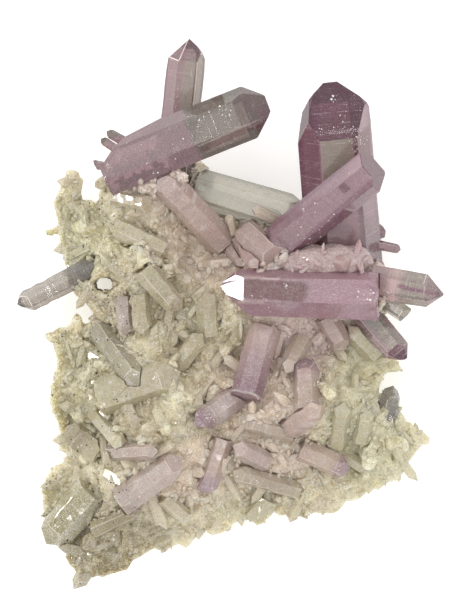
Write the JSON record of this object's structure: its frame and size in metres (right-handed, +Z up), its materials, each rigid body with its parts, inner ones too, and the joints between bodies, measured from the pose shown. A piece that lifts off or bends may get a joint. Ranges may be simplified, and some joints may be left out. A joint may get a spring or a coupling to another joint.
{
  "type": "amethyst specimen",
  "caption": "Purple and clear quartz crystals grown on a ragged plate of pale sugary quartz, lying on its flat back.",
  "frame": {"origin": "middle of the whole specimen's box on the surface it lies on", "axes": "+Z up out of the crystal side, +Y towards the end with the tall crystals, +X to the right of them"},
  "size_m": [0.0854, 0.1088, 0.0356],
  "materials": {
    "matrix": "sugary, pale cream to olive, fine dark specks",
    "clear_quartz": "clear, glossy, fine cross striations",
    "pale_quartz": "milky pale green to cream, glossy faces",
    "lilac_quartz": "pale lilac, half clear",
    "pink_quartz": "milky pink lilac",
    "amethyst": "clear grey body, deep purple ends, glossy faces"
  },
  "bodies": {
    "root": {"matrix": "matrix", "front_crystal": "amethyst", "leaning_crystal": "amethyst", "tall_crystal": "amethyst", "upper_left_crystal": "lilac_quartz", "back_top_crystal": "clear_quartz", "right_crystal": "clear_quartz", "right_stub": "clear_quartz", "lower_right_crystal": "amethyst", "left_rim_crystal": "clear_quartz", "diagonal_crystal": "pink_quartz", "back_wide_crystal": "pale_quartz", "back_narrow_crystal": "pale_quartz", "back_stub": "clear_quartz", "side_stub": "pale_quartz", "knob_crystal": "pink_quartz", "purple_stub": "amethyst", "purple_tip_crystal": "amethyst", "pink_crystal": "pink_quartz", "lower_left_crystal": "pale_quartz", "glinting_crystal": "pale_quartz", "upper_left_small": "pale_quartz", "bright_edged_crystal": "pale_quartz", "sparkling_crystal": "clear_quartz", "broad_pale_crystal": "pale_quartz", "slanting_crystal": "pale_quartz", "dart_crystal": "pale_quartz", "brown_crystal": "pale_quartz", "lilac_grey_crystal": "lilac_quartz", "upright_pink_crystal": "pink_quartz", "glassy_crystal": "clear_quartz", "pink_tipped_crystal": "pink_quartz", "clear_lying_crystal": "clear_quartz", "grey_rim_stub": "clear_quartz", "mauve_crystal": "lilac_quartz", "short_mauve_crystal": "lilac_quartz", "rounded_pale_crystal": "pale_quartz", "curved_pale_crystal": "pale_quartz", "rosy_crystal": "pink_quartz", "green_right_crystal": "pale_quartz", "blush_crystal": "pink_quartz", "pale_right_crystal": "pale_quartz", "small_right_crystal": "pale_quartz", "oval_crystal": "pale_quartz", "broken_crystal": "pale_quartz", "yellow_glint_crystal": "pale_quartz", "wedge_crystal": "pale_quartz", "column_crystal": "pale_quartz", "grey_column_crystal": "lilac_quartz", "rose_root_crystal": "pink_quartz", "paired_crystal_a": "pink_quartz", "paired_crystal_b": "pink_quartz", "notch_crystal": "pale_quartz"}
  },
  "joints": []
}
